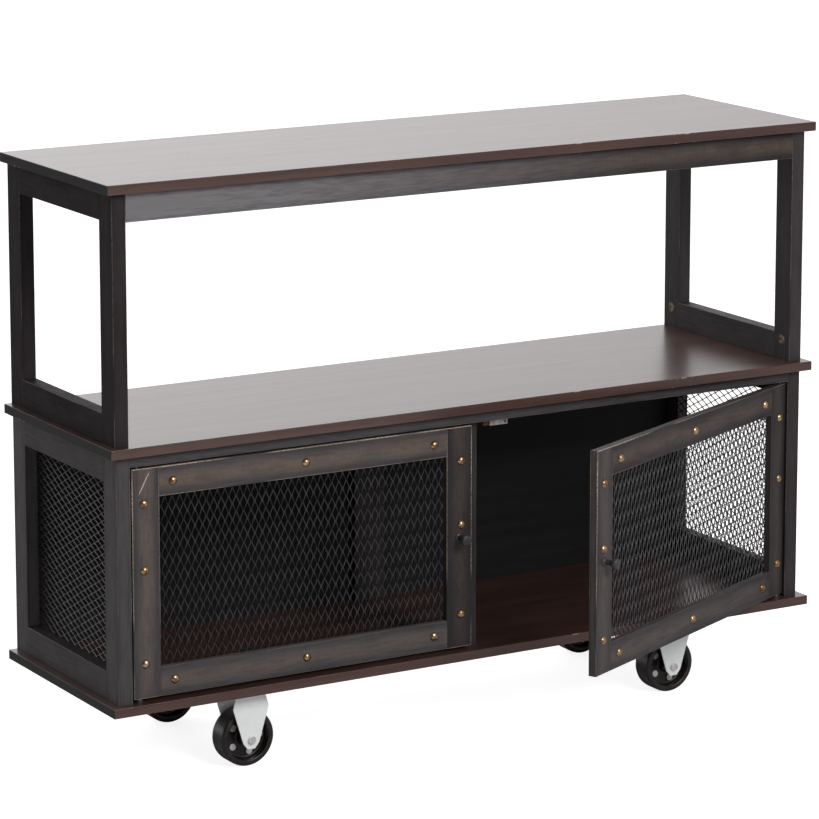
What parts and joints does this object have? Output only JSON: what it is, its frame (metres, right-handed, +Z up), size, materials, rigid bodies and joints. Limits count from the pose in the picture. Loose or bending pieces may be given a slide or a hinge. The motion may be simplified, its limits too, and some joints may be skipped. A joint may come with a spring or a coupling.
{
  "type": "tv stand with doors",
  "caption": "Low media stand on fixed casters with an open shelf above a cabinet that has two framed mesh doors, mesh sides and dome nail trim.",
  "frame": {"origin": "on the floor under the middle of the boards, halfway along the length and the depth", "axes": "+X along the length towards the right-hand end, +Y from the doors towards the back, +Z up"},
  "size_m": [1.2, 0.5914, 0.876],
  "materials": {
    "walnut_boards": "dark walnut laminate, semi-gloss",
    "black_frame": "black paint rubbed to bronze along the middles of the members, satin",
    "back_panel": "dark stained board, matt",
    "black_mesh": "black painted expanded metal, satin",
    "brass_nails": "aged brass, polished domes",
    "black_knobs": "black, satin",
    "brassed_steel": "dull brass plating",
    "zinc_plate": "bright zinc plating",
    "bright_steel": "bright steel",
    "black_wheels": "hard black rubber, slightly glossy"
  },
  "bodies": {
    "carcass": {"top_board": "walnut_boards", "middle_board": "walnut_boards", "bottom_board": "walnut_boards", "upper_left_front_post": "black_frame", "upper_left_rear_post": "black_frame", "upper_right_front_post": "black_frame", "upper_right_rear_post": "black_frame", "upper_left_top_rail": "black_frame", "upper_left_bottom_rail": "black_frame", "upper_right_top_rail": "black_frame", "upper_right_bottom_rail": "black_frame", "upper_front_apron": "black_frame", "upper_rear_apron": "black_frame", "lower_left_front_post": "black_frame", "lower_left_rear_post": "black_frame", "lower_right_front_post": "black_frame", "lower_right_rear_post": "black_frame", "lower_left_top_rail": "black_frame", "lower_left_bottom_rail": "black_frame", "lower_right_top_rail": "black_frame", "lower_right_bottom_rail": "black_frame", "left_side_mesh": "black_mesh", "right_side_mesh": "black_mesh", "front_door_rail": "black_frame", "front_centre_post": "black_frame", "back_panel": "back_panel", "rear_centre_post": "black_frame", "door_hanging_pins": "bright_steel", "magnetic_catches": "bright_steel", "cam_locks": "brassed_steel", "front_left_fork": "zinc_plate", "front_right_fork": "zinc_plate", "rear_left_fork": "zinc_plate", "rear_right_fork": "zinc_plate", "caster_axles": "zinc_plate", "caster_screws": "zinc_plate"},
    "left_door": {"left_door_hinge_stile": "black_frame", "left_door_latch_stile": "black_frame", "left_door_top_rail": "black_frame", "left_door_bottom_rail": "black_frame", "left_door_mesh": "black_mesh", "left_door_nails": "brass_nails", "left_door_knob": "black_knobs", "left_door_strike_plate": "bright_steel"},
    "right_door": {"right_door_hinge_stile": "black_frame", "right_door_latch_stile": "black_frame", "right_door_top_rail": "black_frame", "right_door_bottom_rail": "black_frame", "right_door_mesh": "black_mesh", "right_door_nails": "brass_nails", "right_door_knob": "black_knobs", "right_door_strike_plate": "bright_steel"},
    "front_left_wheel": {"front_left_wheel": "black_wheels", "front_left_wheel_bolts": "zinc_plate"},
    "front_right_wheel": {"front_right_wheel": "black_wheels", "front_right_wheel_bolts": "zinc_plate"},
    "rear_left_wheel": {"rear_left_wheel": "black_wheels", "rear_left_wheel_bolts": "zinc_plate"},
    "rear_right_wheel": {"rear_right_wheel": "black_wheels", "rear_right_wheel_bolts": "zinc_plate"}
  },
  "joints": [
    {"name": "left_door_hinge", "type": "hinge", "parent": "carcass", "child": "left_door", "pos_m": [-0.5523, -0.15825, 0.302], "axis": [0, 0, -1], "range_deg": [0, 95]},
    {"name": "right_door_hinge", "type": "hinge", "parent": "carcass", "child": "right_door", "pos_m": [0.5523, -0.15825, 0.302], "axis": [0, 0, 1], "range_deg": [-25.5, 69.5]},
    {"name": "front_left_wheel_spin", "type": "hinge", "parent": "carcass", "child": "front_left_wheel", "pos_m": [-0.368, -0.123, 0.0425], "axis": [0, 1, 0], "continuous": true},
    {"name": "front_right_wheel_spin", "type": "hinge", "parent": "carcass", "child": "front_right_wheel", "pos_m": [0.368, -0.123, 0.0425], "axis": [0, 1, 0], "continuous": true},
    {"name": "rear_left_wheel_spin", "type": "hinge", "parent": "carcass", "child": "rear_left_wheel", "pos_m": [-0.368, 0.123, 0.0425], "axis": [0, 1, 0], "continuous": true},
    {"name": "rear_right_wheel_spin", "type": "hinge", "parent": "carcass", "child": "rear_right_wheel", "pos_m": [0.368, 0.123, 0.0425], "axis": [0, 1, 0], "continuous": true}
  ]
}
